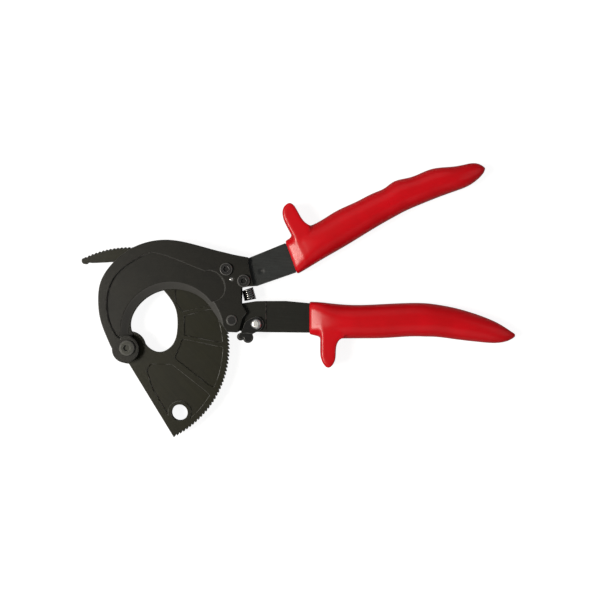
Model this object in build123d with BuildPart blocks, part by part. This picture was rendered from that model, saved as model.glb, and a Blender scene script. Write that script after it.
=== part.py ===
from build123d import *
from math import atan2, cos, degrees, hypot, radians, sin
import os

os.makedirs("parts", exist_ok=True)

# Ratchet cable cutter, lying flat with the hooked jaw uppermost. All sizes in mm.
# Plan positions (x, y) are measured near the blade pivot and heights from the
# blade's middle plane; level() turns them into the tool's own frame, whose origin
# is the middle of the tool's base.
ORIGIN_X, ORIGIN_Y, ORIGIN_Z = -108.6, -29.9, 11.2

# Layers through the tool's thickness, as heights from the blade's middle plane
BLADE_HALF = 2.5      # half the moving blade's thickness
SHEAR_Z = 2.6         # flat back of the fixed jaw, which the blade slides along
CHEEK_Z = 4.9         # outer face of the moving handle's fork
PLATE_IN_Z = 5.0      # inner face of the web and of the back plate
FACE_Z = 9.1          # outer face of the jaw and of the back plate
BAR_HALF = 4.1        # half the moving handle bar's thickness
PAWL_HALF = 2.3       # half a pawl's thickness
PIN_GAP = 0.05        # radial clearance of a part that turns on a pin

# Toothed sector of the moving blade
BLADE_PIVOT = (-0.3, -0.9)
TIP_R = 64.0
TOOTH_DEPTH = 1.3
TEETH = 84
PITCH = 360 / 167
FIRST_TOOTH = -63.4
TIP_LAND = 0.35       # width of a tooth's flat tip, in degrees

# Pins and screws: plan position and radius
BOLT_R, BOLT_HEAD_R = 4.0, 4.9
BUSH_R = 6.0
HANDLE_PIN, HANDLE_PIN_R = (65.6, 16.6), 2.5
RIVET, RIVET_R, RIVET_HEAD_R = (81.0, 14.2), 2.5, 3.4
HOLD_PIN, HOLD_PIN_R = (50.5, 56.5), 1.75
SCREWS, SCREW_R, SCREW_HEAD_R = [(62.2, 48.8), (73.2, 41.4)], 2.5, 4.0
DOWEL, DOWEL_R = (65.4, 42.5), 1.2
HANG_HOLE, HANG_HOLE_R = (32.0, -42.4), 5.15


def level(height):
    """The plane parallel to the blade at this height over its middle plane."""
    return Plane((ORIGIN_X, ORIGIN_Y, ORIGIN_Z + height))


def spots(height, *places):
    """Locations at these plan positions, at one height."""
    return Locations(*[level(height) * Pos(*place) for place in places])


def polar(radius, angle):
    """A plan position from its distance and bearing from the blade pivot."""
    turn = radians(angle)
    return (BLADE_PIVOT[0] + radius * cos(turn), BLADE_PIVOT[1] + radius * sin(turn))


def turned(place, centre, angle):
    """A plan position turned about a centre by an angle in degrees."""
    x, y = place[0] - centre[0], place[1] - centre[1]
    turn = radians(angle)
    return (centre[0] + x * cos(turn) - y * sin(turn), centre[1] + x * sin(turn) + y * cos(turn))


def beside(start, end, share, distance):
    """The point a share of the way from start to end, a distance out from the blade pivot's side."""
    length = hypot(end[0] - start[0], end[1] - start[1])
    across = (-(end[1] - start[1]) / length, (end[0] - start[0]) / length)
    outward = across[0] * (start[0] - BLADE_PIVOT[0]) + across[1] * (start[1] - BLADE_PIVOT[1])
    side = distance if outward > 0 else -distance
    return (
        start[0] + (end[0] - start[0]) * share + across[0] * side,
        start[1] + (end[1] - start[1]) * share + across[1] * side,
    )


# ------------------------------------------------------------------ fixed jaw
# A forged hook. Its web carries the handles, and is milled back behind so that
# the handles' ends fit under it. The face is hollowed between rim and bevel.
JAW_ROUND = [
    (-0.6, -10.7), (-8.6, -3.6), (-13.0, 5.2), (-17.4, 17.3), (-18.7, 28.0), (-17.4, 40.2),
    (-9.6, 52.7), (3.7, 62.8), (24.0, 67.5), (42.6, 64.4), (55.7, 60.8),
]
JAW_WEB = [
    (55.7, 60.8), (66.7, 58.1), (76.2, 56.3), (76.1, 52.2), (76.9, 47.9), (79.1, 38.8),
    (71.6, 37.4), (71.4, 27.6), (75.0, 21.3), (72.2, 17.6), (70.5, 11.2), (69.2, 8.9),
    (62.7, 9.2), (50.7, 26.4),
]
CUT_EDGE = [(50.7, 26.4), (36.9, 35.1), (21.3, 35.3), (6.1, 25.7), (1.2, 13.8), (2.7, 7.6)]
LUG_MID, LUG_R, LUG_MARGIN = (-1.5, -1.8), 8.5, 0.4
WEB_RELIEF = [
    (56.4, 0.0), (56.4, 25.5), (61.5, 33.5), (55.5, 44.0), (56.0, 70.0), (95.0, 70.0), (95.0, 0.0),
]
BEVEL_MID, BEVEL_R = (27.0, 9.0), 33.4
RECESS_LEFT = [(-7.6, 7.0), (-12.4, 18.0), (-13.3, 29.0), (-9.6, 42.0), (-0.5, 51.6), (15.0, 59.6)]
RECESS_TOP = [(15.0, 59.6), (24.0, 57.5), (37.6, 52.2), (48.8, 47.8)]
RECESS_NOSE = [(48.8, 47.8), (59.4, 43.4), (61.4, 36.5), (52.8, 28.2)]
RECESS_BACK = [(52.8, 28.2), (40.0, 14.0), (2.0, 0.0), (-7.6, 7.0)]
RECESS_DEPTH = 1.5
BEVEL_LOW_Z, BEVEL_LOW_R = 3.4, 27.6
# The hollow's floor runs straight into the bevel, without a ridge between them
RECESS_INNER_R = BEVEL_R - RECESS_DEPTH * (BEVEL_R - BEVEL_LOW_R) / (FACE_Z - BEVEL_LOW_Z)
HOLD_PIN_TOP = 7.0

with BuildPart() as bevel_cutter:
    with BuildSketch(level(BEVEL_LOW_Z)):
        with Locations(BEVEL_MID):
            Circle(BEVEL_LOW_R)
    with BuildSketch(level(FACE_Z)):
        with Locations(BEVEL_MID):
            Circle(BEVEL_R)
    loft()
    with BuildSketch(level(BEVEL_LOW_Z)):
        with Locations(LUG_MID):
            Circle(LUG_R + LUG_MARGIN)
    extrude(amount=FACE_Z - BEVEL_LOW_Z, mode=Mode.SUBTRACT)

with BuildPart() as fixed_jaw:
    with BuildSketch(level(SHEAR_Z)):
        with BuildLine():
            Spline(*JAW_ROUND)
            Polyline(*JAW_WEB)
            Spline(*CUT_EDGE)
            Line(CUT_EDGE[-1], JAW_ROUND[0])
        make_face()
        with Locations(LUG_MID):
            Circle(LUG_R)
    extrude(amount=FACE_Z - SHEAR_Z)
    with BuildSketch(level(SHEAR_Z)):
        with BuildLine():
            Polyline(*WEB_RELIEF, close=True)
        make_face()
    extrude(amount=PLATE_IN_Z - SHEAR_Z, mode=Mode.SUBTRACT)
    with BuildSketch(level(FACE_Z)):
        with BuildLine():
            Spline(*RECESS_LEFT)
            Spline(*RECESS_TOP)
            Spline(*RECESS_NOSE)
            Polyline(*RECESS_BACK)
        make_face()
        with Locations(BEVEL_MID):
            Circle(RECESS_INNER_R, mode=Mode.SUBTRACT)
    extrude(amount=-RECESS_DEPTH, mode=Mode.SUBTRACT)
    add(bevel_cutter.part, mode=Mode.SUBTRACT)
    with spots(FACE_Z, BLADE_PIVOT):
        Hole(BOLT_R)
    with spots(FACE_Z, *SCREWS):
        Hole(SCREW_R)
    with spots(FACE_Z, HANDLE_PIN):
        Hole(HANDLE_PIN_R)
    with spots(FACE_Z, DOWEL):
        Hole(DOWEL_R)
    with BuildSketch(level(SHEAR_Z)):
        with Locations(HOLD_PIN):
            Circle(HOLD_PIN_R)
    extrude(amount=HOLD_PIN_TOP - SHEAR_Z, mode=Mode.SUBTRACT)
fixed_jaw.part.label = "fixed_jaw"

# ----------------------------------------------------------------- back plate
# Bolted behind the web; it keeps the blade's toothed rim against the jaw.
BACK_TOP = [(22.0, 66.6), (32.0, 66.4), (42.6, 63.8), (55.7, 60.8)]
BACK_EDGE = 0.6
BACK_INNER = [(62.7, 9.2), (52.8, 28.0), (46.0, 37.5), (34.0, 45.0), (22.0, 50.5), (22.0, 66.6)]

with BuildPart() as back_plate:
    with BuildSketch(level(-FACE_Z)):
        with BuildLine():
            Spline(*BACK_TOP)
            Polyline(*JAW_WEB[:-1])
            Polyline(*BACK_INNER)
        make_face()
    extrude(amount=FACE_Z - SHEAR_Z)
    with BuildSketch(level(-PLATE_IN_Z)):
        with BuildLine():
            Polyline(*WEB_RELIEF, close=True)
        make_face()
    extrude(amount=PLATE_IN_Z - SHEAR_Z, mode=Mode.SUBTRACT)
    with spots(-SHEAR_Z, *SCREWS, HANDLE_PIN):
        Hole(SCREW_R)
    with spots(-SHEAR_Z, DOWEL):
        Hole(DOWEL_R)
    with spots(-SHEAR_Z, HOLD_PIN):
        Hole(HOLD_PIN_R)
    chamfer(back_plate.faces().sort_by(Axis.Z)[0].outer_wire().edges(), BACK_EDGE)
back_plate.part.label = "back_plate"

# --------------------------------------------------------------- moving blade
# Toothed sector with a hooked cutting edge and a thin horn that carries the
# teeth on past the edge. Its front face has sunk panels between ribs.
ROOT_R = TIP_R - TOOTH_DEPTH
LAST_TOOTH = FIRST_TOOTH + TEETH * PITCH
HORN_FOOT = [polar(TIP_R, LAST_TOOTH), (-30.3, 54.3), (-28.8, 53.5)]
HORN_UNDER = [(-28.8, 53.5), (-24.5, 53.1), (-11.6, 53.6)]
HORN_END, HORN_END_R = (-28.4, 54.3), 2.0
BLADE_EDGE = [
    (-11.6, 53.6), (4.0, 50.0), (14.5, 43.2), (22.3, 35.1), (29.0, 25.2), (30.7, 13.0),
    (27.0, 0.3), (19.3, -3.7), (12.4, -0.9), (8.7, 5.0),
]
HUB_R = 10.3
STRAIGHT_START = (-0.6, -10.7)
RIM_R = 59.8
PANEL_DEPTH = 0.8
PANELS = [
    ([(28.5, 46.0), (29.4, 27.5), (33.9, 21.9), (51.0, 26.0)], 28.5, 56.0),
    ([(50.6, 23.4), (35.0, 19.4), (35.0, 6.9), (56.8, 2.5)], 3.5, 23.5),
    ([(56.8, -0.2), (33.8, 4.6), (28.8, -7.7), (50.6, -24.9)], -25.2, 0.5),
    ([(48.5, -28.6), (27.0, -11.6), (13.5, -11.4), (10.9, -15.5), (14.6, -27.0), (25.0, -44.5), (38.0, -45.4)],
     -49.0, -30.5),
]
HOLE_RING_R = 7.4
BLADE_BEVEL_RISE, BLADE_BEVEL_RUN = 3.4, 3.2
THROAT_MID, THROAT_SIDE = (14.5, 14.0), (-30.0, 24.0)


def pushed(place, centre, distance):
    """A plan position moved straight away from a centre."""
    share = distance / hypot(place[0] - centre[0], place[1] - centre[1])
    return (place[0] + (place[0] - centre[0]) * share, place[1] + (place[1] - centre[1]) * share)


def tooth_line():
    """Corner points of the saw teeth, from the first tooth round to the horn."""
    points = []
    for number in range(TEETH):
        angle = FIRST_TOOTH + number * PITCH
        points.append(polar(TIP_R, angle))
        points.append(polar(TIP_R, angle + TIP_LAND))
        points.append(polar(ROOT_R, angle + PITCH))
    points.append(polar(TIP_R, LAST_TOOTH))
    return points


with BuildPart() as blade_bevel_cutter:
    for height, distance in [(BLADE_BEVEL_RISE - BLADE_HALF, 0), (-BLADE_HALF, BLADE_BEVEL_RUN)]:
        edge = [pushed(point, THROAT_MID, distance) for point in BLADE_EDGE]
        with BuildSketch(level(height)):
            with BuildLine():
                Spline(*edge)
                Polyline(edge[-1], THROAT_SIDE, edge[0])
            make_face()
    loft()
    with BuildSketch(level(-BLADE_HALF)):
        with Locations(BLADE_PIVOT):
            Circle(HUB_R)
    extrude(amount=2 * BLADE_HALF, mode=Mode.SUBTRACT)

with BuildPart() as moving_blade:
    with BuildSketch(level(-BLADE_HALF)):
        with BuildLine():
            Polyline(*tooth_line())
            ThreePointArc(*HORN_FOOT)
            Polyline(*HORN_UNDER)
            Spline(*BLADE_EDGE)
            Polyline(BLADE_EDGE[-1], STRAIGHT_START, polar(TIP_R, FIRST_TOOTH))
        make_face()
        with Locations(HORN_END):
            Circle(HORN_END_R)
        with Locations(BLADE_PIVOT):
            Circle(HUB_R)
    extrude(amount=2 * BLADE_HALF)
    for border, low, high in PANELS:
        with BuildSketch(level(BLADE_HALF)):
            with BuildLine():
                Polyline(*border)
                ends = sorted(
                    [polar(RIM_R, low), polar(RIM_R, high)],
                    key=lambda p: hypot(p[0] - border[0][0], p[1] - border[0][1]),
                )
                Line(ends[0], border[0])
                Line(border[-1], ends[1])
                ThreePointArc(ends[0], polar(RIM_R, (low + high) / 2), ends[1])
            make_face()
            with Locations(HANG_HOLE):
                Circle(HOLE_RING_R, mode=Mode.SUBTRACT)
        extrude(amount=-PANEL_DEPTH, mode=Mode.SUBTRACT)
    add(blade_bevel_cutter.part, mode=Mode.SUBTRACT)
    with spots(BLADE_HALF, HANG_HOLE):
        Hole(HANG_HOLE_R)
    with spots(BLADE_HALF, BLADE_PIVOT):
        Hole(BUSH_R)
moving_blade.part.label = "moving_blade"

# ------------------------------------------------- blade pivot: bolt and fittings
BOLT_HEAD_TALL, BOLT_HEAD_EDGE = 2.4, 0.9
BOLT_KEY_R, BOLT_KEY_DEEP = 2.3, 1.8
BOLT_END_Z, BOLT_END_EDGE = -10.9, 0.5
WASHER_R, WASHER_TALL, WASHER_EDGE = 9.0, 1.5, 0.4
NUT_FLATS, NUT_TALL = 13.0, 6.2

with BuildPart() as blade_bush:
    with BuildSketch(level(-BLADE_HALF)):
        with Locations(BLADE_PIVOT):
            Circle(BUSH_R)
            Circle(BOLT_R + PIN_GAP, mode=Mode.SUBTRACT)
    extrude(amount=2 * BLADE_HALF)
blade_bush.part.label = "blade_bush"

with BuildPart() as blade_pivot_bolt:
    with BuildSketch(level(BOLT_END_Z)):
        with Locations(BLADE_PIVOT):
            Circle(BOLT_R)
    extrude(amount=FACE_Z - BOLT_END_Z)
    chamfer(blade_pivot_bolt.edges().group_by(Axis.Z)[0], BOLT_END_EDGE)
    with BuildSketch(level(FACE_Z)):
        with Locations(BLADE_PIVOT):
            Circle(BOLT_HEAD_R)
    extrude(amount=BOLT_HEAD_TALL)
    chamfer(blade_pivot_bolt.edges().group_by(Axis.Z)[-1], BOLT_HEAD_EDGE)
    with BuildSketch(level(FACE_Z + BOLT_HEAD_TALL)):
        with Locations(BLADE_PIVOT):
            RegularPolygon(BOLT_KEY_R, 6)
    extrude(amount=-BOLT_KEY_DEEP, mode=Mode.SUBTRACT)
blade_pivot_bolt.part.label = "blade_pivot_bolt"

with BuildPart() as blade_pivot_washer:
    with BuildSketch(level(-SHEAR_Z - WASHER_TALL)):
        with Locations(BLADE_PIVOT):
            Circle(WASHER_R)
            Circle(BOLT_R, mode=Mode.SUBTRACT)
    extrude(amount=WASHER_TALL)
    chamfer(blade_pivot_washer.edges().group_by(Axis.Z)[0].sort_by(SortBy.RADIUS)[-1], WASHER_EDGE)
blade_pivot_washer.part.label = "blade_pivot_washer"

with BuildPart() as blade_pivot_nut:
    with BuildSketch(level(-SHEAR_Z - WASHER_TALL - NUT_TALL)):
        with Locations(BLADE_PIVOT):
            RegularPolygon(NUT_FLATS / 2, 6, major_radius=False)
            Circle(BOLT_R, mode=Mode.SUBTRACT)
    extrude(amount=NUT_TALL)
blade_pivot_nut.part.label = "blade_pivot_nut"

# ---------------------------------------------------------------- frame fixings
SCREW_HEAD_TALL, SCREW_HEAD_EDGE = 2.3, 0.5
SCREW_KEY_R, SCREW_KEY_DEEP = 2.0, 1.9
DOWEL_PROUD, DOWEL_EDGE = 0.3, 0.25

with BuildPart() as frame_screws:
    for place in SCREWS:
        with BuildSketch(level(-FACE_Z)):
            with Locations(place):
                Circle(SCREW_R)
        extrude(amount=2 * FACE_Z)
        with BuildSketch(level(FACE_Z)):
            with Locations(place):
                Circle(SCREW_HEAD_R)
        extrude(amount=SCREW_HEAD_TALL)
        with BuildSketch(level(FACE_Z + SCREW_HEAD_TALL)):
            with Locations(place):
                RegularPolygon(SCREW_KEY_R, 6)
        extrude(amount=-SCREW_KEY_DEEP, mode=Mode.SUBTRACT)
    head_tops = frame_screws.faces().group_by(Axis.Z)[-1]
    chamfer(head_tops.edges().filter_by(GeomType.CIRCLE), SCREW_HEAD_EDGE)
frame_screws.part.label = "frame_screws"

with BuildPart() as frame_dowel:
    with BuildSketch(level(-FACE_Z)):
        with Locations(DOWEL):
            Circle(DOWEL_R)
    extrude(amount=2 * FACE_Z + DOWEL_PROUD)
    chamfer(frame_dowel.edges().group_by(Axis.Z)[-1], DOWEL_EDGE)
frame_dowel.part.label = "frame_dowel"

# ----------------------------------------------------------------- handle pivot
PIN_HEAD_R, PIN_HEAD_TALL, PIN_HEAD_EDGE = 3.5, 1.6, 0.9
GROOVE_R, GROOVE_LOW, GROOVE_HIGH = 2.1, -10.1, -9.3
PIN_END_Z = -10.8
CIRCLIP_R, CIRCLIP_PLAY = 4.6, 0.1
CIRCLIP_GAP, CIRCLIP_GAP_SIZE = (HANDLE_PIN[0], HANDLE_PIN[1] - 4.0), (2.4, 5.0)

with BuildPart() as handle_pivot_pin:
    for low, high, radius in [
        (PIN_END_Z, GROOVE_LOW, HANDLE_PIN_R),
        (GROOVE_LOW, GROOVE_HIGH, GROOVE_R),
        (GROOVE_HIGH, FACE_Z, HANDLE_PIN_R),
        (FACE_Z, FACE_Z + PIN_HEAD_TALL, PIN_HEAD_R),
    ]:
        with BuildSketch(level(low)):
            with Locations(HANDLE_PIN):
                Circle(radius)
        extrude(amount=high - low)
    chamfer(handle_pivot_pin.edges().group_by(Axis.Z)[-1], PIN_HEAD_EDGE)
handle_pivot_pin.part.label = "handle_pivot_pin"

with BuildPart() as handle_pivot_circlip:
    with BuildSketch(level(GROOVE_LOW)):
        with Locations(HANDLE_PIN):
            Circle(CIRCLIP_R)
            Circle(GROOVE_R, mode=Mode.SUBTRACT)
        with Locations(CIRCLIP_GAP):
            Rectangle(*CIRCLIP_GAP_SIZE, mode=Mode.SUBTRACT)
    extrude(amount=GROOVE_HIGH - GROOVE_LOW - CIRCLIP_PLAY)
handle_pivot_circlip.part.label = "handle_pivot_circlip"

# ----------------------------------------------------------------------- pawls
# Each pawl is drawn with its nose down in a tooth gap and then lifted about its
# pin until the nose rides just clear of the tooth tips. The holding pawl's nose
# stops a quarter of a pitch short, so that it can drop in past the steep face.
DRIVE_TOOTH, DRIVE_EYE_R, DRIVE_LIFT = 46, 3.8, -2.25
DRIVE_BITE, DRIVE_HEEL = 1.15, 0.3
HOLD_TOOTH, HOLD_EYE_R, HOLD_LIFT = 57.74, 4.2, -3.2
HOLD_BITE, HOLD_HEEL = 0.65, 0.9
PAWL_ARM = 5.2
NOSE_TALL, BACK_TALL = 1.6, 4.2
NOSE_LEAN, NOSE_TOP_LEAN, HEEL_LEAN, BACK_LEAN = 0.15, 0.1, PITCH + 0.2, 1.5


def pawl_outline(pin, tooth, eye, lift, bite, heel_rise):
    """Corner points of a pawl, from its nose round by the eye and back."""
    angle = FIRST_TOOTH + tooth * PITCH
    nose = polar(TIP_R - bite, angle - NOSE_LEAN)
    nose_top = polar(TIP_R + NOSE_TALL, angle - NOSE_TOP_LEAN)
    heel = polar(TIP_R + heel_rise, angle - HEEL_LEAN)
    back = polar(TIP_R + BACK_TALL, angle - BACK_LEAN)
    outer_eye = beside(pin, back, 0, eye)
    inner_eye = (2 * pin[0] - outer_eye[0], 2 * pin[1] - outer_eye[1])
    waist = beside(heel, inner_eye, 0.5, PAWL_ARM)
    corners = [nose, nose_top, back, waist, outer_eye, inner_eye, heel]
    return [turned(corner, pin, lift) for corner in corners]


with BuildPart() as drive_pawl:
    outline = pawl_outline(RIVET, DRIVE_TOOTH, DRIVE_EYE_R, DRIVE_LIFT, DRIVE_BITE, DRIVE_HEEL)
    with BuildSketch(level(-PAWL_HALF)):
        with BuildLine():
            Polyline(*outline, close=True)
        make_face()
        with Locations(RIVET):
            Circle(DRIVE_EYE_R)
    extrude(amount=2 * PAWL_HALF)
    with spots(PAWL_HALF, RIVET):
        Hole(RIVET_R + PIN_GAP)
drive_pawl.part.label = "drive_pawl"

with BuildPart() as holding_pawl:
    outline = pawl_outline(HOLD_PIN, HOLD_TOOTH, HOLD_EYE_R, HOLD_LIFT, HOLD_BITE, HOLD_HEEL)
    with BuildSketch(level(-PAWL_HALF)):
        with BuildLine():
            Polyline(*outline, close=True)
        make_face()
        with Locations(HOLD_PIN):
            Circle(HOLD_EYE_R)
    extrude(amount=2 * PAWL_HALF)
    with spots(PAWL_HALF, HOLD_PIN):
        Hole(HOLD_PIN_R + PIN_GAP)
holding_pawl.part.label = "holding_pawl"

with BuildPart() as holding_pawl_pin:
    with BuildSketch(level(-FACE_Z)):
        with Locations(HOLD_PIN):
            Circle(HOLD_PIN_R)
    extrude(amount=FACE_Z + HOLD_PIN_TOP)
holding_pawl_pin.part.label = "holding_pawl_pin"

LEAF_LINE = [(61.0, 55.4), (57.4, 57.4), (54.5, 60.4), (50.5, 61.5), (46.0, 61.2), (41.2, 60.0)]
LEAF_THICK, LEAF_HALF = 0.5, 1.8

with BuildPart() as holding_pawl_spring:
    with BuildSketch(level(-LEAF_HALF)):
        with BuildLine() as leaf:
            Spline(*LEAF_LINE)
        trace(leaf.line, LEAF_THICK)
    extrude(amount=2 * LEAF_HALF)
holding_pawl_spring.part.label = "holding_pawl_spring"

# ----------------------------------------------------------- fixed handle: bar
UPPER_BAR = [
    (58.0, 57.2), (70.0, 56.2), (76.2, 56.1), (99.0, 65.4), (103.0, 64.6), (126.3, 77.1),
    (165.4, 98.0), (182.6, 105.2), (187.4, 94.6), (170.8, 87.4), (132.1, 66.7), (109.8, 52.4),
    (106.0, 47.0), (81.2, 38.4), (72.0, 37.8), (66.0, 38.8), (58.0, 45.5),
]
DIMPLE, DIMPLE_R, DIMPLE_FLOOR_R, DIMPLE_DEEP, DIMPLE_CONE = (84.2, 47.6), 2.5, 0.4, 0.8, 140

with BuildPart() as fixed_handle_bar:
    with BuildSketch(level(-PLATE_IN_Z)):
        with BuildLine():
            Polyline(*UPPER_BAR, close=True)
        make_face()
    extrude(amount=2 * PLATE_IN_Z)
    with spots(PLATE_IN_Z, *SCREWS):
        Hole(SCREW_R)
    with spots(PLATE_IN_Z, DOWEL):
        Hole(DOWEL_R)
    with spots(PLATE_IN_Z, DIMPLE):
        CounterSinkHole(DIMPLE_FLOOR_R, DIMPLE_R, DIMPLE_DEEP, DIMPLE_CONE)
    add(holding_pawl_spring.part, mode=Mode.SUBTRACT)
fixed_handle_bar.part.label = "fixed_handle_bar"

# ----------------------------------------------- moving handle: fork, bar, rivet
FORK_END_R = 6.6
FORK = [
    (68.0, 22.8), (72.5, 27.4), (81.0, 28.7), (87.2, 28.8), (87.2, 8.9), (78.5, 9.2), (66.0, 10.0),
]
LOWER_BAR = [
    (86.0, 28.8), (100.0, 28.8), (114.8, 27.4), (119.0, 22.0), (200.0, 21.5), (200.0, 10.5),
    (119.0, 12.0), (114.8, 8.6), (86.0, 8.9),
]
BRIDGE = [(77.5, 28.1), (77.5, 26.8), (87.0, 26.8), (87.0, 28.8), (81.0, 28.7)]

with BuildPart() as moving_handle_bar:
    for low in (-CHEEK_Z, SHEAR_Z):
        with BuildSketch(level(low)):
            with BuildLine():
                Polyline(*FORK, close=True)
            make_face()
            with Locations(HANDLE_PIN):
                Circle(FORK_END_R)
        extrude(amount=CHEEK_Z - SHEAR_Z)
    with BuildSketch(level(-SHEAR_Z)):
        with BuildLine():
            Polyline(*BRIDGE, close=True)
        make_face()
    extrude(amount=2 * SHEAR_Z)
    with BuildSketch(level(-BAR_HALF)):
        with BuildLine():
            Polyline(*LOWER_BAR, close=True)
        make_face()
    extrude(amount=2 * BAR_HALF)
    with spots(CHEEK_Z, HANDLE_PIN):
        Hole(HANDLE_PIN_R + PIN_GAP)
    with spots(CHEEK_Z, RIVET):
        Hole(RIVET_R)
moving_handle_bar.part.label = "moving_handle_bar"

LEVER_LOW, LEVER_HIGH = 5.0, 6.9
RIVET_HEAD_TALL, RIVET_HEAD_ROUND = 2.4, 1.9
RIVET_TAIL_TALL, RIVET_TAIL_EDGE = 1.8, 0.7
RIVET_HEAD_Z = LEVER_HIGH + 0.1

with BuildPart() as drive_pawl_rivet:
    for low, high, radius in [
        (-CHEEK_Z - RIVET_TAIL_TALL, -CHEEK_Z, RIVET_HEAD_R),
        (-CHEEK_Z, RIVET_HEAD_Z, RIVET_R),
        (RIVET_HEAD_Z, RIVET_HEAD_Z + RIVET_HEAD_TALL, RIVET_HEAD_R),
    ]:
        with BuildSketch(level(low)):
            with Locations(RIVET):
                Circle(radius)
        extrude(amount=high - low)
    fillet(drive_pawl_rivet.edges().group_by(Axis.Z)[-1], RIVET_HEAD_ROUND)
    chamfer(drive_pawl_rivet.edges().group_by(Axis.Z)[0], RIVET_TAIL_EDGE)
drive_pawl_rivet.part.label = "drive_pawl_rivet"

# --------------------------------------------------------------- release lever
LEVER_EYE_R = 4.6
LEVER_ARM = [(78.0, 18.0), (74.2, 15.5), (71.6, 9.4), (70.4, 7.6), (78.6, 7.8), (84.0, 10.6)]
KNOB_LOBES = [((71.3, 6.2), 2.4), ((75.9, 5.4), 3.2)]
KNOB_NECK, KNOB_NECK_SIZE = (74.7, 7.2), (8.0, 2.4)
KNOB_LOW, KNOB_HIGH, KNOB_STEP = 3.0, 9.0, 0.8

with BuildPart() as release_lever:
    with BuildSketch(level(LEVER_LOW)):
        with BuildLine():
            Polyline(*LEVER_ARM, close=True)
        make_face()
        with Locations(RIVET):
            Circle(LEVER_EYE_R)
    extrude(amount=LEVER_HIGH - LEVER_LOW)
    for height, inset in [(KNOB_HIGH - KNOB_STEP, 0.0), (KNOB_HIGH, KNOB_STEP)]:
        with BuildSketch(level(KNOB_LOW)):
            for place, radius in KNOB_LOBES:
                with Locations(place):
                    Circle(radius - inset)
            with Locations(KNOB_NECK):
                Rectangle(*KNOB_NECK_SIZE)
        extrude(amount=height - KNOB_LOW)
    with spots(KNOB_HIGH, RIVET):
        Hole(RIVET_R + PIN_GAP)
release_lever.part.label = "release_lever"

# --------------------------------------------------------------------- springs
RETURN_LOW, RETURN_HIGH = (77.0, 29.7), (75.2, 36.1)
RETURN_R, RETURN_WIRE, RETURN_TURNS = 3.3, 0.6, 5
PAWL_SPRING_LOW, PAWL_SPRING_HIGH = (80.0, 21.2), (80.0, 26.3)
PAWL_SPRING_R, PAWL_SPRING_WIRE, PAWL_SPRING_TURNS = 1.5, 0.25, 5


def coil_line(low, high, turns, radius):
    """A helix between two plan positions, in the blade's middle plane."""
    start = level(0).from_local_coords(Vector(low[0], low[1], 0))
    along = Vector(high[0] - low[0], high[1] - low[1], 0)
    return Helix(along.length / turns, along.length, radius, center=start, direction=along)


with BuildPart() as handle_return_spring:
    with BuildLine() as coil:
        coil_line(RETURN_LOW, RETURN_HIGH, RETURN_TURNS, RETURN_R)
    with BuildSketch(Plane(coil.line @ 0, z_dir=coil.line % 0)):
        Circle(RETURN_WIRE)
    sweep(path=coil.line, is_frenet=True)
handle_return_spring.part.label = "handle_return_spring"

with BuildPart() as drive_pawl_spring:
    with BuildLine() as coil:
        coil_line(PAWL_SPRING_LOW, PAWL_SPRING_HIGH, PAWL_SPRING_TURNS, PAWL_SPRING_R)
    with BuildSketch(Plane(coil.line @ 0, z_dir=coil.line % 0)):
        Circle(PAWL_SPRING_WIRE)
    sweep(path=coil.line, is_frenet=True)
drive_pawl_spring.part.label = "drive_pawl_spring"

# ----------------------------------------------------------------------- grips
# Dipped vinyl sleeves: a smooth body lofted through rounded sections, each given
# by its far edge, its near edge, its thickness and its corner radius, with a
# finger guard standing out beside the collar.
UPPER_GRIP = [
    ((99.0, 67.2), (106.8, 45.9), 15.6, 4.5),
    ((103.5, 70.0), (111.8, 48.7), 18.5, 5.5),
    ((114.0, 76.2), (124.5, 56.3), 22.0, 9.5),
    ((124.3, 81.5), (134.5, 62.0), 22.4, 10.0),
    ((134.2, 87.4), (145.5, 68.6), 22.4, 10.0),
    ((144.4, 92.0), (156.0, 75.1), 22.4, 9.5),
    ((153.3, 96.6), (165.0, 80.3), 22.2, 9.5),
    ((162.8, 100.8), (173.5, 85.0), 22.0, 9.0),
    ((173.0, 106.4), (182.5, 89.2), 22.0, 9.0),
    ((183.0, 109.1), (192.0, 93.1), 21.6, 8.7),
    ((195.0, 113.5), (203.0, 97.3), 21.0, 8.5),
    ((206.0, 114.4), (211.5, 100.3), 19.5, 7.0),
    ((217.0, 116.6), (218.6, 103.6), 15.5, 6.0),
    ((224.2, 115.8), (224.4, 108.4), 10.0, 3.4),
    ((227.6, 114.2), (227.0, 112.4), 3.0, 0.8),
]
UPPER_GUARD = [
    (112.6, 53.5), (108.2, 62.2), (104.0, 69.8), (100.2, 77.0), (97.6, 84.0), (99.2, 89.2), (102.6, 90.9),
    (106.3, 87.4), (109.9, 81.0), (115.5, 76.6),
]
LOWER_GRIP = [
    ((114.6, 28.3), (114.6, 7.6), 15.6, 4.5),
    ((120.5, 28.1), (120.5, 6.3), 18.8, 5.5),
    ((132.0, 26.9), (132.0, 4.9), 22.0, 9.5),
    ((146.0, 26.2), (146.0, 4.9), 22.4, 9.5),
    ((160.0, 26.7), (160.0, 5.0), 22.4, 9.5),
    ((175.0, 27.4), (175.0, 5.9), 22.4, 9.5),
    ((190.0, 27.3), (189.0, 6.0), 22.0, 9.5),
    ((204.0, 25.2), (201.5, 5.2), 21.0, 9.0),
    ((216.5, 22.0), (213.5, 3.6), 19.5, 8.5),
    ((227.5, 18.2), (224.5, 2.4), 17.0, 7.5),
    ((236.5, 14.0), (234.5, 1.9), 13.5, 5.5),
    ((243.0, 9.9), (242.0, 3.4), 8.5, 3.0),
    ((246.9, 7.6), (246.6, 5.9), 2.6, 0.7),
]
LOWER_GUARD = [
    (122.9, 19.5), (122.2, 12.0), (121.9, 5.0), (121.8, -3.0), (123.0, -10.0), (126.7, -13.6), (130.4, -10.2),
    (131.6, -1.0), (133.2, 3.6), (138.0, 5.4),
]
GUARD_HALF = 10.0


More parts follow.
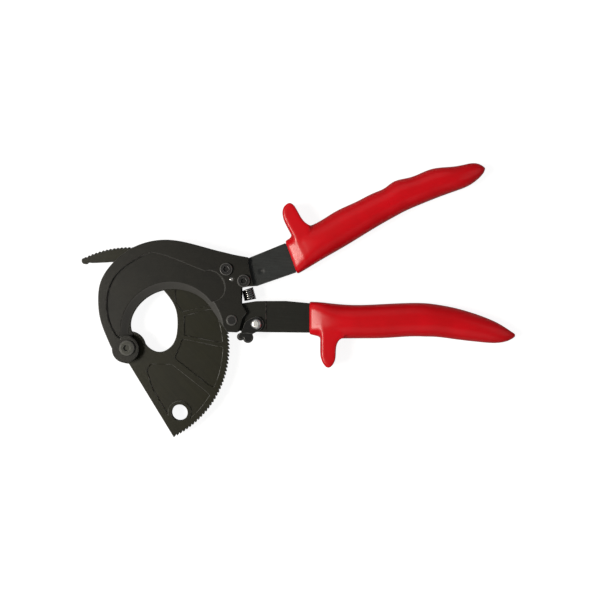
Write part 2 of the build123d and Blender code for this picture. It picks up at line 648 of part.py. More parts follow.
def cross_plane(far, near):
    """The plane across a grip, through its far and near edges."""
    middle = Vector((far[0] + near[0]) / 2, (far[1] + near[1]) / 2, 0)
    across = (far[0] - near[0], far[1] - near[1], 0)
    return Plane(level(0).from_local_coords(middle), x_dir=across, z_dir=(across[1], -across[0], 0))


with BuildPart() as fixed_handle_grip:
    with BuildSketch(level(-GUARD_HALF)):
        with BuildLine():
            Spline(*UPPER_GUARD)
            Line(UPPER_GUARD[-1], UPPER_GUARD[0])
        make_face()
    extrude(amount=2 * GUARD_HALF)
    for far, near, thick, corner in UPPER_GRIP:
        with BuildSketch(cross_plane(far, near)):
            RectangleRounded(hypot(far[0] - near[0], far[1] - near[1]), thick, corner)
    loft()
    add(fixed_handle_bar.part, mode=Mode.SUBTRACT)
fixed_handle_grip.part.label = "fixed_handle_grip"

with BuildPart() as moving_handle_grip:
    with BuildSketch(level(-GUARD_HALF)):
        with BuildLine():
            Spline(*LOWER_GUARD)
            Line(LOWER_GUARD[-1], LOWER_GUARD[0])
        make_face()
    extrude(amount=2 * GUARD_HALF)
    for far, near, thick, corner in LOWER_GRIP:
        with BuildSketch(cross_plane(far, near)):
            RectangleRounded(hypot(far[0] - near[0], far[1] - near[1]), thick, corner)
    loft()
    add(moving_handle_bar.part, mode=Mode.SUBTRACT)
moving_handle_grip.part.label = "moving_handle_grip"

for piece in [
    fixed_jaw, back_plate, moving_blade, blade_bush, blade_pivot_bolt, blade_pivot_washer,
    blade_pivot_nut, frame_screws, frame_dowel, handle_pivot_pin, handle_pivot_circlip,
    drive_pawl, holding_pawl, holding_pawl_pin, holding_pawl_spring, fixed_handle_bar,
    moving_handle_bar, drive_pawl_rivet, release_lever, handle_return_spring,
    drive_pawl_spring, fixed_handle_grip, moving_handle_grip,
]:
    export_step(piece.part, f"parts/{piece.part.label}.step")
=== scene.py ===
import bpy
import math
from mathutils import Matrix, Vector


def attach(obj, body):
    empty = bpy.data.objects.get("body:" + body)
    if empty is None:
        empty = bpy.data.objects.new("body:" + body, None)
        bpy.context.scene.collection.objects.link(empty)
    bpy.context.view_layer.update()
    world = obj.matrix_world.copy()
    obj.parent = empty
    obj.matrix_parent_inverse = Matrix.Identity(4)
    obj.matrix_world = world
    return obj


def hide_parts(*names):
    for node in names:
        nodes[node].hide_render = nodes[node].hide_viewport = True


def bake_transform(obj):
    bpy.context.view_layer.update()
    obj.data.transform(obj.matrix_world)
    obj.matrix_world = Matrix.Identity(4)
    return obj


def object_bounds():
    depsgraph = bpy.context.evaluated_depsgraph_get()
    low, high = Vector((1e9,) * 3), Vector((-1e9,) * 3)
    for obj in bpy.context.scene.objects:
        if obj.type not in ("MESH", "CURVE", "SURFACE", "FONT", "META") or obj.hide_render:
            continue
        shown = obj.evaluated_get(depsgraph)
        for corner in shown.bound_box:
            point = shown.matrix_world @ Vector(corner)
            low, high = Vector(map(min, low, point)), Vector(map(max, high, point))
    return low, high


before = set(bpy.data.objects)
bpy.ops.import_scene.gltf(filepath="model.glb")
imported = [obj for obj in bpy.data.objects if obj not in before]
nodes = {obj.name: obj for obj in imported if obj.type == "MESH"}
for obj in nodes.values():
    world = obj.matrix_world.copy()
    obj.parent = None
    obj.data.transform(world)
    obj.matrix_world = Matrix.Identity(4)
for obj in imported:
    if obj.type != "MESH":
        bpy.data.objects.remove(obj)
cad_low, cad_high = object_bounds()

# ------------------------------------------------------------------ the bench
# The cutter lies flat on a pale bench with its jaw face up. One soft box hangs high
# to the left of it, and four weak ones stand round it under a darker ceiling.
BENCH_SIZE, BENCH_CELLS, BENCH_GAP = 6.0, 24, 0.0003
BENCH_PALE, BENCH_SPECK = (0.30, 0.30, 0.30, 1.0), (0.27, 0.27, 0.27, 1.0)
BENCH_DULL = (0.30, 0.30, 0.30, 1.0)
SPECK_SCALE = 900.0
BENCH_ROUGH, BENCH_SHINE, BENCH_GLOW = 0.9, 0.1, 0.90
KEY_TINT, PLAIN_TINT = (1.0, 0.95, 0.86), (1.0, 1.0, 1.0)
# Each row: name, place in metres, side in metres, watts, tint.
SOFT_BOXES = [
    ("box_high", (-0.62, -0.10, 1.02), 0.30, 8.1, KEY_TINT),
    ("box_far", (-0.25, 0.95, 0.85), 1.1, 1.6, PLAIN_TINT),
    ("box_near", (0.15, -1.00, 0.80), 1.1, 1.4, PLAIN_TINT),
    ("box_left", (-1.05, -0.20, 0.55), 0.9, 2.4, PLAIN_TINT),
    ("box_right", (1.05, 0.15, 0.80), 1.0, 1.2, PLAIN_TINT),
]
ROOM_TINT, ROOM_LIGHT = (0.97, 0.98, 1.0, 1.0), 0.10
BACKDROP_TINT, BACKDROP_SEEN = (1.0, 1.0, 1.0, 1.0), 0.95


def added(tree, kind, **values):
    """A new node in a tree, with its own settings."""
    node = tree.nodes.new(kind)
    for key, value in values.items():
        setattr(node, key, value)
    return node


def join(tree, output, target):
    """One link from an output socket to an input socket."""
    tree.links.new(output, target)


bpy.ops.object.select_all(action="DESELECT")
bpy.ops.mesh.primitive_grid_add(
    x_subdivisions=BENCH_CELLS, y_subdivisions=BENCH_CELLS, size=BENCH_SIZE,
    location=(0, 0, cad_low.z - BENCH_GAP),
)
bench = bpy.context.object
bench.name = "bench"
bpy.ops.object.transform_apply(location=True, rotation=True, scale=True)
bench_paint = bpy.data.materials.new("bench_paint")
bench_paint.use_nodes = True
tree = bench_paint.node_tree
coat = tree.nodes["Principled BSDF"]
place = added(tree, "ShaderNodeTexCoord")
speck = added(tree, "ShaderNodeTexNoise")
speck.inputs["Scale"].default_value = SPECK_SCALE
shade = added(tree, "ShaderNodeMix", data_type="RGBA")
shade.inputs["A"].default_value = BENCH_PALE
shade.inputs["B"].default_value = BENCH_SPECK
join(tree, place.outputs["Object"], speck.inputs["Vector"])
join(tree, speck.outputs["Fac"], shade.inputs["Factor"])
join(tree, shade.outputs["Result"], coat.inputs["Base Color"])
coat.inputs["Roughness"].default_value = BENCH_ROUGH
coat.inputs["Specular IOR Level"].default_value = BENCH_SHINE
glow = added(tree, "ShaderNodeEmission")
glow.inputs["Strength"].default_value = BENCH_GLOW
dull = added(tree, "ShaderNodeBsdfDiffuse")
dull.inputs["Color"].default_value = BENCH_DULL
lit_up = added(tree, "ShaderNodeAddShader")
path = added(tree, "ShaderNodeLightPath")
either = added(tree, "ShaderNodeMixShader")
join(tree, coat.outputs[0], lit_up.inputs[0])
join(tree, glow.outputs[0], lit_up.inputs[1])
join(tree, path.outputs["Is Camera Ray"], either.inputs[0])
join(tree, dull.outputs[0], either.inputs[1])
join(tree, lit_up.outputs[0], either.inputs[2])
side = added(tree, "ShaderNodeNewGeometry")
clear = added(tree, "ShaderNodeBsdfTransparent")
through = added(tree, "ShaderNodeMixShader")
join(tree, side.outputs["Backfacing"], through.inputs[0])
join(tree, either.outputs[0], through.inputs[1])
join(tree, clear.outputs[0], through.inputs[2])
join(tree, through.outputs[0], tree.nodes["Material Output"].inputs["Surface"])
bench.data.materials.append(bench_paint)

for name, spot, size, power, tint in SOFT_BOXES:
    lamp = bpy.data.lights.new(name, "AREA")
    lamp.shape = "SQUARE"
    lamp.size = size
    lamp.energy = power
    lamp.color = tint
    stand = bpy.data.objects.new(name, lamp)
    stand.location = spot
    stand.rotation_euler = (-Vector(spot)).to_track_quat("-Z", "Y").to_euler()
    stand.visible_camera = False
    bpy.context.scene.collection.objects.link(stand)

room = bpy.data.worlds.new("room")
room.use_nodes = True
bpy.context.scene.world = room
tree = room.node_tree
tree.nodes.clear()
ray = added(tree, "ShaderNodeLightPath")
lit = added(tree, "ShaderNodeBackground")
lit.inputs["Color"].default_value = ROOM_TINT
lit.inputs["Strength"].default_value = ROOM_LIGHT
seen = added(tree, "ShaderNodeBackground")
seen.inputs["Color"].default_value = BACKDROP_TINT
seen.inputs["Strength"].default_value = BACKDROP_SEEN
either = added(tree, "ShaderNodeMixShader")
sky = added(tree, "ShaderNodeOutputWorld")
join(tree, ray.outputs["Is Camera Ray"], either.inputs[0])
join(tree, lit.outputs[0], either.inputs[1])
join(tree, seen.outputs[0], either.inputs[2])
join(tree, either.outputs[0], sky.inputs["Surface"])
bpy.context.scene.view_settings.view_transform = "Standard"

# ----------------------------------------------------------------- the camera
# Straight over the middle of the tool, two and a half tool lengths up, with the
# jaw to the left and the handles to the right.
CAMERA_SPOT = (0.0002, -0.0005, 0.691)
CAMERA_LENS = 63.75
CAMERA_REACH = 20.0

eye = bpy.data.cameras.new("eye")
eye.lens = CAMERA_LENS
eye.clip_end = CAMERA_REACH
camera = bpy.data.objects.new("camera", eye)
camera.location = CAMERA_SPOT
bpy.context.scene.collection.objects.link(camera)
bpy.context.scene.camera = camera

# -------------------------------------------------------- fixed jaw and plate
# A forged hook with its web, blackened in hot oxide and oiled, and a flat plate
# bolted behind it. Their corners are broken on a belt and rub bright in use.
JAW_BREAK, PLATE_BREAK = 0.00025, 0.0003
BREAK_ANGLE, FLAT_ANGLE = math.radians(24), math.radians(0.6)
MERGE_GAP = 0.000002
BARE_STEEL = (0.42, 0.41, 0.39, 1.0)
FORGED_DARK, FORGED_PALE = (0.0085, 0.0083, 0.0066, 1.0), (0.027, 0.026, 0.021, 1.0)
PLATE_DARK, PLATE_PALE = (0.012, 0.0118, 0.010, 1.0), (0.030, 0.029, 0.025, 1.0)
# The rubbed edges: how much a corner turns, where a patch starts, and noise detail.
CORNER_FLAT, CORNER_SHARP = 0.995, 0.80
PATCH_THIN, PATCH_FULL = 0.42, 0.62
CORNER_SAMPLES = 6
# The oxide's handling scratches: the way each set runs, in radians, and its stretch.
SCRATCHES = [(0.5, 26.0), (-0.9, 19.0), (1.9, 31.0)]
SCRATCH_SCALE, SCRATCH_THIN, SCRATCH_FULL = 55.0, 0.68, 0.74
SCRATCH_TONE, SCRATCH_DULL, SCRATCH_DEEP = 0.25, -0.25, 0.5
# The ground lines' stretch, and their share of a face's tone and relief.
GROUND_STRETCH = (0.6, 40.0, 0.6)
FILM_SHARE, GROUND_SHARE, GROUND_RELIEF = 0.6, 0.5, 1.6
# Slopes between steep and flat are ground bright; these are their heights of normal.
SLOPE_STEEP, SLOPE_FLAT = (0.25, 0.45), (0.97, 0.90)
OXIDE_SWING, RUBBED_ROUGH = 0.07, 0.33
OXIDE_IOR, OXIDE_SHINE = 1.5, 0.20
OXIDE_BUMP, OXIDE_DEPTH = 0.35, 0.00004


def effect(name, ins, outs):
    """A shader node group with named number, colour and vector sockets."""
    group = bpy.data.node_groups.new(name, "ShaderNodeTree")
    for label, kind, value in ins:
        socket = group.interface.new_socket(label, in_out="INPUT", socket_type=kind)
        if value is not None:
            socket.default_value = value
    for label, kind in outs:
        group.interface.new_socket(label, in_out="OUTPUT", socket_type=kind)
    return group, added(group, "NodeGroupInput"), added(group, "NodeGroupOutput")


def sum_of(tree, kind, first, second):
    """A maths node on two sockets or numbers, and its result."""
    node = added(tree, "ShaderNodeMath", operation=kind, use_clamp=False)
    for slot, value in zip(node.inputs, (first, second)):
        if isinstance(value, (int, float)):
            slot.default_value = value
        else:
            join(tree, value, slot)
    return node.outputs[0]


def spread(tree, value, low, high, to_low=0.0, to_high=1.0):
    """A value moved from one range to another and held inside it."""
    node = added(tree, "ShaderNodeMapRange")
    join(tree, value, node.inputs["Value"])
    ends = {"From Min": low, "From Max": high, "To Min": to_low, "To Max": to_high}
    for label, number in ends.items():
        node.inputs[label].default_value = number
    return node.outputs["Result"]


def grain(tree, vector, scale, detail=3.0, rough=0.55):
    """A noise texture at one scale, in turns per metre, and its value."""
    node = added(tree, "ShaderNodeTexNoise")
    node.inputs["Detail"].default_value = detail
    node.inputs["Roughness"].default_value = rough
    join(tree, vector, node.inputs["Vector"])
    if isinstance(scale, (int, float)):
        node.inputs["Scale"].default_value = scale
    else:
        join(tree, scale, node.inputs["Scale"])
    return node.outputs["Fac"]


FLOAT, VECTOR = "NodeSocketFloat", "NodeSocketVector"

# Rubbed edges: where the surface turns sharply, broken up by a fine noise.
rubbed, given, found = effect(
    "rubbed_edges",
    [("Vector", VECTOR, None), ("Width", FLOAT, 0.0005), ("Patch Scale", FLOAT, 260.0),
     ("Cover", FLOAT, 0.5)],
    [("Mask", FLOAT), ("Soft Normal", VECTOR)],
)
turn = added(rubbed, "ShaderNodeBevel", samples=CORNER_SAMPLES)
join(rubbed, given.outputs["Width"], turn.inputs["Radius"])
face = added(rubbed, "ShaderNodeNewGeometry")
agree = added(rubbed, "ShaderNodeVectorMath", operation="DOT_PRODUCT")
join(rubbed, turn.outputs["Normal"], agree.inputs[0])
join(rubbed, turn.outputs["Normal"], found.inputs["Soft Normal"])
join(rubbed, face.outputs["Normal"], agree.inputs[1])
corner = spread(rubbed, agree.outputs["Value"], CORNER_FLAT, CORNER_SHARP)
patch = grain(rubbed, given.outputs["Vector"], given.outputs["Patch Scale"], 5.0, 0.62)
patch = sum_of(rubbed, "ADD", patch, sum_of(rubbed, "SUBTRACT", given.outputs["Cover"], 0.5))
patch = spread(rubbed, patch, PATCH_THIN, PATCH_FULL)
join(rubbed, sum_of(rubbed, "MULTIPLY", corner, patch), found.inputs["Mask"])

# Oxide: slow cloudy tone, fine crystal grain and faint handling scratches.
oxide, given, found = effect(
    "oxide_film",
    [("Vector", VECTOR, None), ("Cloud Scale", FLOAT, 70.0), ("Grain Scale", FLOAT, 1400.0)],
    [("Tone", FLOAT), ("Gloss", FLOAT), ("Height", FLOAT)],
)
cloud = grain(oxide, given.outputs["Vector"], given.outputs["Cloud Scale"], 4.0, 0.6)
crystal = grain(oxide, given.outputs["Vector"], given.outputs["Grain Scale"], 2.0, 0.5)
marks = None
for turned, stretch in SCRATCHES:
    lay = added(oxide, "ShaderNodeMapping")
    lay.inputs["Rotation"].default_value = (0.0, 0.0, turned)
    lay.inputs["Scale"].default_value = (1.0, stretch, stretch)
    join(oxide, given.outputs["Vector"], lay.inputs["Vector"])
    mark = grain(oxide, lay.outputs["Vector"], SCRATCH_SCALE, 2.0, 0.5)
    mark = spread(oxide, mark, SCRATCH_THIN, SCRATCH_FULL)
    marks = mark if marks is None else sum_of(oxide, "MAXIMUM", marks, mark)
tone = sum_of(oxide, "ADD", spread(oxide, cloud, 0.3, 0.7, 0.0, 0.62),
              spread(oxide, crystal, 0.35, 0.65, 0.0, 0.2))
tone = sum_of(oxide, "ADD", tone, sum_of(oxide, "MULTIPLY", marks, SCRATCH_TONE))
join(oxide, tone, found.inputs["Tone"])
gloss = sum_of(oxide, "ADD", cloud, sum_of(oxide, "MULTIPLY", marks, SCRATCH_DULL))
join(oxide, spread(oxide, gloss, 0.25, 0.75), found.inputs["Gloss"])
height = sum_of(oxide, "SUBTRACT", crystal, sum_of(oxide, "MULTIPLY", marks, SCRATCH_DEEP))
join(oxide, height, found.inputs["Height"])

# Ground lines: long fine lines across a face, from the grinding wheel.
ground, given, found = effect(
    "ground_lines",
    [("Vector", VECTOR, None), ("Line Scale", FLOAT, 90.0)],
    [("Tone", FLOAT), ("Height", FLOAT)],
)
lay = added(ground, "ShaderNodeMapping")
lay.inputs["Scale"].default_value = GROUND_STRETCH
join(ground, given.outputs["Vector"], lay.inputs["Vector"])
line = grain(ground, lay.outputs["Vector"], given.outputs["Line Scale"], 3.0, 0.6)
join(ground, spread(ground, line, 0.3, 0.7), found.inputs["Tone"])
join(ground, line, found.inputs["Height"])


def blend_of(tree, share, first, second):
    """A colour mix of two colours or sockets by a share."""
    node = added(tree, "ShaderNodeMix", data_type="RGBA")
    join(tree, share, node.inputs["Factor"])
    for label, value in (("A", first), ("B", second)):
        if isinstance(value, tuple):
            node.inputs[label].default_value = value
        else:
            join(tree, value, node.inputs[label])
    return node.outputs["Result"]


def number_mix(tree, share, first, second):
    """A mix of two numbers or sockets by a share."""
    node = added(tree, "ShaderNodeMix", data_type="FLOAT")
    join(tree, share, node.inputs["Factor"])
    for label, value in (("A", first), ("B", second)):
        if isinstance(value, (int, float)):
            node.inputs[label].default_value = value
        else:
            join(tree, value, node.inputs[label])
    return node.outputs["Result"]


def placed(tree, group, vector, **values):
    """A group node in a material, fed with the surface's own coordinates."""
    node = added(tree, "ShaderNodeGroup", node_tree=group)
    join(tree, vector, node.inputs["Vector"])
    for label, value in values.items():
        node.inputs[label.replace("_", " ")].default_value = value
    return node


def black_steel(name, dark, pale, rough, cover=0.5, width=0.0005, lines=None, bevel_tone=0.0):
    """Blackened steel: oxide film, rubbed edges, and grinding lines where wanted."""
    material = bpy.data.materials.new(name)
    material.use_nodes = True
    tree = material.node_tree
    body = tree.nodes["Principled BSDF"]
    spot = added(tree, "ShaderNodeTexCoord").outputs["Object"]
    film = placed(tree, oxide, spot)
    edge = placed(tree, rubbed, spot, Width=width, Cover=cover)
    tone, height = film.outputs["Tone"], film.outputs["Height"]
    if lines is not None:
        lay = added(tree, "ShaderNodeMapping")
        lay.inputs["Rotation"].default_value = (0.0, 0.0, lines)
        join(tree, spot, lay.inputs["Vector"])
        cut = placed(tree, ground, lay.outputs["Vector"])
        tone = sum_of(tree, "ADD", sum_of(tree, "MULTIPLY", tone, FILM_SHARE),
                      sum_of(tree, "MULTIPLY", cut.outputs["Tone"], GROUND_SHARE))
        height = sum_of(tree, "ADD", height, sum_of(tree, "MULTIPLY", cut.outputs["Height"], GROUND_RELIEF))
    colour = blend_of(tree, tone, dark, pale)
    mask = edge.outputs["Mask"]
    if bevel_tone > 0.0:
        lean = added(tree, "ShaderNodeSeparateXYZ")
        join(tree, added(tree, "ShaderNodeNewGeometry").outputs["Normal"], lean.inputs[0])
        slope = sum_of(tree, "MULTIPLY", spread(tree, lean.outputs["Z"], *SLOPE_STEEP),
                       spread(tree, lean.outputs["Z"], *SLOPE_FLAT))
        mask = sum_of(tree, "MAXIMUM", mask, sum_of(tree, "MULTIPLY", slope, bevel_tone))
    colour = blend_of(tree, mask, colour, BARE_STEEL)
    join(tree, colour, body.inputs["Base Color"])
    join(tree, mask, body.inputs["Metallic"])
    gloss = spread(tree, film.outputs["Gloss"], 0.0, 1.0, rough + OXIDE_SWING, rough - OXIDE_SWING)
    join(tree, number_mix(tree, mask, gloss, RUBBED_ROUGH), body.inputs["Roughness"])
    body.inputs["IOR"].default_value = OXIDE_IOR
    body.inputs["Specular IOR Level"].default_value = OXIDE_SHINE
    bump = added(tree, "ShaderNodeBump")
    bump.inputs["Strength"].default_value = OXIDE_BUMP
    bump.inputs["Distance"].default_value = OXIDE_DEPTH
    join(tree, height, bump.inputs["Height"])
    join(tree, edge.outputs["Soft Normal"], bump.inputs["Normal"])
    join(tree, bump.outputs["Normal"], body.inputs["Normal"])
    return material


def finish_on(material, *names):
    """Gives CAD nodes a material in all their slots."""
    for name in names:
        for held in nodes[name].material_slots:
            held.material = material


def broken_corners(width, *names, segments=2, held=True):
    """Live modifiers that merge a node's loose triangles and round its sharp corners.

    held keeps each round from running into its neighbours."""
    for name in names:
        weld = nodes[name].modifiers.new("weld", "WELD")
        weld.merge_threshold = MERGE_GAP
        flat = nodes[name].modifiers.new("flat", "DECIMATE")
        flat.decimate_type = "DISSOLVE"
        flat.angle_limit = FLAT_ANGLE
        soft = nodes[name].modifiers.new("soft", "BEVEL")
        soft.limit_method = "ANGLE"
        soft.angle_limit = BREAK_ANGLE
        soft.width = width
        soft.segments = segments
        soft.use_clamp_overlap = held
        even = nodes[name].modifiers.new("even", "WEIGHTED_NORMAL")
        even.keep_sharp = False


forged_black = black_steel("forged_black", FORGED_DARK, FORGED_PALE, 0.36,
                           cover=0.40, width=0.0008, bevel_tone=0.20)
plate_black = black_steel("plate_black", PLATE_DARK, PLATE_PALE, 0.46, lines=0.3)
finish_on(forged_black, "fixed_jaw")
finish_on(plate_black, "back_plate")
broken_corners(JAW_BREAK, "fixed_jaw", segments=3, held=False)
broken_corners(PLATE_BREAK, "back_plate")

# --------------------------------------------------------------- moving blade
# A ground and hardened sector, oxide black, with its ratchet teeth cut in the rim.
# It turns on a bronze bush pressed into its hub.
BLADE_DARK, BLADE_PALE = (0.0092, 0.0090, 0.0045, 1.0), (0.026, 0.025, 0.0125, 1.0)
BRONZE_DARK, BRONZE_PALE = (0.36, 0.22, 0.10, 1.0), (0.62, 0.42, 0.22, 1.0)
BLADE_BREAK = 0.00018
FILM_CLOUDS, POLISH_SHARE, LINE_SHARE = 240.0, 0.5, 0.5
POLISH_LOSS, POLISH_GAIN = 0.08, 0.06
LINE_BUMP, LINE_DEPTH = 0.25, 0.00003

blade_black = black_steel("blade_black", BLADE_DARK, BLADE_PALE, 0.37, lines=0.85,
                          cover=0.50, width=0.0005, bevel_tone=0.06)
finish_on(blade_black, "moving_blade")
broken_corners(BLADE_BREAK, "moving_blade")


def bare_metal(name, dark, pale, rough, scale=90.0, lines=0.0):
    """Bare or plated metal with fine lines and a slightly uneven polish."""
    material = bpy.data.materials.new(name)
    material.use_nodes = True
    tree = material.node_tree
    body = tree.nodes["Principled BSDF"]
    spot = added(tree, "ShaderNodeTexCoord").outputs["Object"]
    lay = added(tree, "ShaderNodeMapping")
    lay.inputs["Rotation"].default_value = (0.0, 0.0, lines)
    join(tree, spot, lay.inputs["Vector"])
    cut = placed(tree, ground, lay.outputs["Vector"], Line_Scale=scale)
    film = placed(tree, oxide, spot, Cloud_Scale=FILM_CLOUDS)
    share = sum_of(tree, "ADD", sum_of(tree, "MULTIPLY", cut.outputs["Tone"], LINE_SHARE),
                   sum_of(tree, "MULTIPLY", film.outputs["Tone"], POLISH_SHARE))
    join(tree, blend_of(tree, share, dark, pale), body.inputs["Base Color"])
    gloss = spread(tree, film.outputs["Gloss"], 0.0, 1.0, rough + POLISH_LOSS, rough - POLISH_GAIN)
    join(tree, gloss, body.inputs["Roughness"])
    body.inputs["Metallic"].default_value = 1.0
    bump = added(tree, "ShaderNodeBump")
    bump.inputs["Strength"].default_value = LINE_BUMP
    bump.inputs["Distance"].default_value = LINE_DEPTH
    join(tree, cut.outputs["Height"], bump.inputs["Height"])
    join(tree, bump.outputs["Normal"], body.inputs["Normal"])
    return material


bush_bronze = bare_metal("bush_bronze", BRONZE_DARK, BRONZE_PALE, 0.38)
finish_on(bush_bronze, "blade_bush")

# --------------------------------------------------- pivot bolt, screws, pins
# Turned and black-oxided fixings, with plated washer and nut behind. Their rims
# and sockets rub bright first. The dowel is bare ground steel.
FIXING_DARK, FIXING_PALE = (0.013, 0.013, 0.0135, 1.0), (0.035, 0.034, 0.033, 1.0)
BOLT_DARK, BOLT_PALE = (0.030, 0.031, 0.025, 1.0), (0.085, 0.087, 0.072, 1.0)
GROUND_DARK, GROUND_PALE = (0.60, 0.60, 0.59, 1.0), (0.86, 0.86, 0.85, 1.0)
ZINC_DARK, ZINC_PALE = (0.50, 0.51, 0.52, 1.0), (0.74, 0.75, 0.76, 1.0)
FIXING_BREAK, NUT_BREAK, PIN_BREAK = 0.0002, 0.00035, 0.0001

fixing_black = black_steel("fixing_black", FIXING_DARK, FIXING_PALE, 0.36,
                           cover=0.66, width=0.0005, bevel_tone=0.35)
bolt_black = black_steel("bolt_black", BOLT_DARK, BOLT_PALE, 0.36,
                         cover=0.66, width=0.0005, bevel_tone=0.35)
ground_steel = bare_metal("ground_steel", GROUND_DARK, GROUND_PALE, 0.24)
zinc_plate = bare_metal("zinc_plate", ZINC_DARK, ZINC_PALE, 0.34)
finish_on(bolt_black, "blade_pivot_bolt")
finish_on(fixing_black, "frame_screws", "handle_pivot_pin")
finish_on(ground_steel, "frame_dowel", "holding_pawl_pin")
finish_on(zinc_plate, "blade_pivot_washer", "blade_pivot_nut")
broken_corners(FIXING_BREAK, "blade_pivot_bolt", "frame_screws", "handle_pivot_pin", "blade_pivot_washer")
broken_corners(NUT_BREAK, "blade_pivot_nut")
broken_corners(PIN_BREAK, "frame_dowel", "holding_pawl_pin")

# -------------------------------------------- pawls, leaf spring and circlip
# Pawls are ground from tool steel and left bare; the leaf spring and the circlip are
# oiled spring steel. They sit between the plates and behind the pin.
TOOL_DARK, TOOL_PALE = (0.16, 0.16, 0.16, 1.0), (0.34, 0.34, 0.33, 1.0)
SPRING_DARK, SPRING_PALE = (0.20, 0.20, 0.20, 1.0), (0.52, 0.52, 0.51, 1.0)
PAWL_BREAK, STRIP_BREAK = 0.0002, 0.00008

tool_steel = bare_metal("tool_steel", TOOL_DARK, TOOL_PALE, 0.36, lines=0.7)
spring_wire = bare_metal("spring_wire", SPRING_DARK, SPRING_PALE, 0.26, scale=200.0)
finish_on(tool_steel, "drive_pawl", "holding_pawl")
finish_on(spring_wire, "holding_pawl_spring", "handle_pivot_circlip")
broken_corners(PAWL_BREAK, "drive_pawl", "holding_pawl")
broken_corners(STRIP_BREAK, "handle_pivot_circlip", "holding_pawl_spring")

# ---------------------------------------------------------------- coil springs
# The return spring and the drive pawl's spring are wound from oiled wire.
# Each row: piece, CAD node, part and place of its first end, then of its second.
COILS = [
    ("return_spring", "handle_return_spring",
     "frame", (-0.0334, 0.0062, 0.0112), "moving_handle", (-0.0316, -0.0002, 0.0112)),
    ("pawl_spring", "drive_pawl_spring",
     "moving_handle", (-0.0286, -0.0036, 0.0112), "drive_pawl", (-0.0286, -0.0087, 0.0112)),
]
COIL_SMOOTH = math.radians(50)


def merged_copy(name, node):
    """A piece of its own from a CAD node, with its loose triangles merged."""
    bpy.ops.object.select_all(action="DESELECT")
    piece = bpy.data.objects.new(name, nodes[node].data.copy())
    bpy.context.scene.collection.objects.link(piece)
    bpy.context.view_layer.objects.active = piece
    piece.select_set(True)
    bpy.ops.object.mode_set(mode="EDIT")
    bpy.ops.mesh.select_all(action="SELECT")
    bpy.ops.mesh.remove_doubles(threshold=MERGE_GAP)
    bpy.ops.object.mode_set(mode="OBJECT")
    if piece.data.has_custom_normals:
        bpy.ops.mesh.customdata_custom_splitnormals_clear()
    return piece


for name, node, first, first_spot, second, second_spot in COILS:
    coil = merged_copy(name, node)
    bpy.ops.object.shade_smooth_by_angle(angle=COIL_SMOOTH)
    coil.data.materials.clear()
    coil.data.materials.append(spring_wire)
    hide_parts(node)
    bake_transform(coil)

# ---------------------------------------------------------------- handle bars
# Flat bar, sheared and blackened, with filed long edges. The lower bar carries
# the forked drive end, its bright rivet and the release lever's knob.
# Both bars are the same blackened steel. The fixed bar's tints are its own bluish black made paler as a
# painted sheen; the moving bar's tints are the darker copy.
SHEEN_BAR_DARK, SHEEN_BAR_PALE = (0.015, 0.0162, 0.0160, 1.0), (0.050, 0.054, 0.053, 1.0)
FORK_DARK, FORK_PALE = (0.0095, 0.0097, 0.0078, 1.0), (0.025, 0.0255, 0.0205, 1.0)
LEVER_DARK, LEVER_PALE = (0.010, 0.010, 0.010, 1.0), (0.024, 0.024, 0.024, 1.0)
RIVET_DARK, RIVET_PALE = (0.72, 0.72, 0.71, 1.0), (0.92, 0.92, 0.91, 1.0)
BAR_BREAK, LEVER_BREAK, RIVET_BREAK = 0.0006, 0.0005, 0.00025

# The fixed bar's material: bluish oxide black, painted paler for its sheen.
sheen_bar_black = black_steel("sheen_bar_black", SHEEN_BAR_DARK, SHEEN_BAR_PALE, 0.42, lines=0.1, cover=0.56, width=0.0006)
fork_black = black_steel("fork_black", FORK_DARK, FORK_PALE, 0.40, lines=0.1, cover=0.5, width=0.0006)
lever_black = black_steel("lever_black", LEVER_DARK, LEVER_PALE, 0.30, cover=0.58, width=0.0006)
rivet_zinc = bare_metal("rivet_zinc", RIVET_DARK, RIVET_PALE, 0.36)
finish_on(sheen_bar_black, "fixed_handle_bar")
finish_on(fork_black, "moving_handle_bar")
finish_on(lever_black, "release_lever")
finish_on(rivet_zinc, "drive_pawl_rivet")
broken_corners(BAR_BREAK, "fixed_handle_bar", "moving_handle_bar", segments=3)
broken_corners(LEVER_BREAK, "release_lever", segments=3)
broken_corners(RIVET_BREAK, "drive_pawl_rivet", segments=3)

# --------------------------------------------------------------------- grips
# Red vinyl sleeves made by dipping the hot bars, so every corner is soft and the
# skin is glossy with a faint orange-peel. A finger guard stands out by each collar.
VOXEL = 0.0008
SOFTEN, SOFTEN_SHARE = 14, 0.5
SWELL_SCALE, DUST_SCALE = 60.0, 2600.0
SWELL_GLOSS, DUST_GLOSS, SWELL_RISE = 0.6, 0.4, 2.2
VINYL_DARK, VINYL_PALE = (0.68, 0.0015, 0.006, 1.0), (0.80, 0.003, 0.010, 1.0)
VINYL_DULL, VINYL_GLOSSY, VINYL_SHINE = 0.36, 0.27, 0.32
VINYL_GLOW, VINYL_GLOW_REACH, VINYL_GLOW_SIZE = 0.04, (0.004, 0.0006, 0.0003), 0.5
VINYL_COAT, VINYL_COAT_ROUGH = 0.06, 0.12
VINYL_BUMP, VINYL_DEPTH = 0.3, 0.00012
# Each row: sleeve, the CAD grip that it replaces, and the part that it is on.
SLEEVES = [
    ("upper_sleeve", "fixed_handle_grip", "frame"),
    ("lower_sleeve", "moving_handle_grip", "moving_handle"),
]


def dipped_sleeve(name, node):
    """A sleeve from the CAD grip: merged, remeshed fine and softened all over."""
    sleeve = merged_copy(name, node)
    remesh = sleeve.modifiers.new("remesh", "REMESH")
    remesh.mode = "VOXEL"
    remesh.voxel_size = VOXEL
    bpy.ops.object.modifier_apply(modifier=remesh.name)
    soften = sleeve.modifiers.new("soften", "SMOOTH")
    soften.factor = SOFTEN_SHARE
    soften.iterations = SOFTEN
    bpy.ops.object.modifier_apply(modifier=soften.name)
    bpy.ops.object.shade_smooth()
    return sleeve


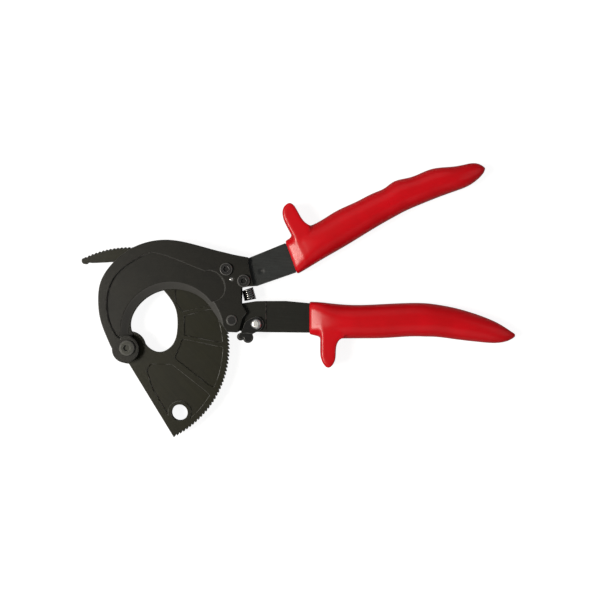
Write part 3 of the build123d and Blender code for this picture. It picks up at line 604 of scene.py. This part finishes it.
peel, given, found = effect(
    "orange_peel",
    [("Vector", VECTOR, None), ("Peel Scale", FLOAT, 420.0)],
    [("Tone", FLOAT), ("Gloss", FLOAT), ("Height", FLOAT)],
)
swell = grain(peel, given.outputs["Vector"], SWELL_SCALE, 2.0, 0.5)
skin = grain(peel, given.outputs["Vector"], given.outputs["Peel Scale"], 2.0, 0.4)
dust = grain(peel, given.outputs["Vector"], DUST_SCALE, 2.0, 0.6)
join(peel, spread(peel, swell, 0.3, 0.7), found.inputs["Tone"])
gloss = sum_of(peel, "ADD", sum_of(peel, "MULTIPLY", swell, SWELL_GLOSS),
               sum_of(peel, "MULTIPLY", dust, DUST_GLOSS))
join(peel, spread(peel, gloss, 0.3, 0.7), found.inputs["Gloss"])
join(peel, sum_of(peel, "ADD", sum_of(peel, "MULTIPLY", swell, SWELL_RISE), skin), found.inputs["Height"])

red_vinyl = bpy.data.materials.new("red_vinyl")
red_vinyl.use_nodes = True
tree = red_vinyl.node_tree
body = tree.nodes["Principled BSDF"]
spot = added(tree, "ShaderNodeTexCoord").outputs["Object"]
skin = placed(tree, peel, spot)
colour = blend_of(tree, skin.outputs["Tone"], VINYL_DARK, VINYL_PALE)
join(tree, colour, body.inputs["Base Color"])
gloss = spread(tree, skin.outputs["Gloss"], 0.0, 1.0, VINYL_DULL, VINYL_GLOSSY)
join(tree, gloss, body.inputs["Roughness"])
body.inputs["Specular IOR Level"].default_value = VINYL_SHINE
body.inputs["Subsurface Weight"].default_value = VINYL_GLOW
body.inputs["Subsurface Radius"].default_value = VINYL_GLOW_REACH
body.inputs["Subsurface Scale"].default_value = VINYL_GLOW_SIZE
body.inputs["Coat Weight"].default_value = VINYL_COAT
body.inputs["Coat Roughness"].default_value = VINYL_COAT_ROUGH
bump = added(tree, "ShaderNodeBump")
bump.inputs["Strength"].default_value = VINYL_BUMP
bump.inputs["Distance"].default_value = VINYL_DEPTH
join(tree, skin.outputs["Height"], bump.inputs["Height"])
join(tree, bump.outputs["Normal"], body.inputs["Normal"])

for name, node, rider in SLEEVES:
    sleeve = dipped_sleeve(name, node)
    sleeve.data.materials.clear()
    sleeve.data.materials.append(red_vinyl)
    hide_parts(node)
    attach(sleeve, rider)
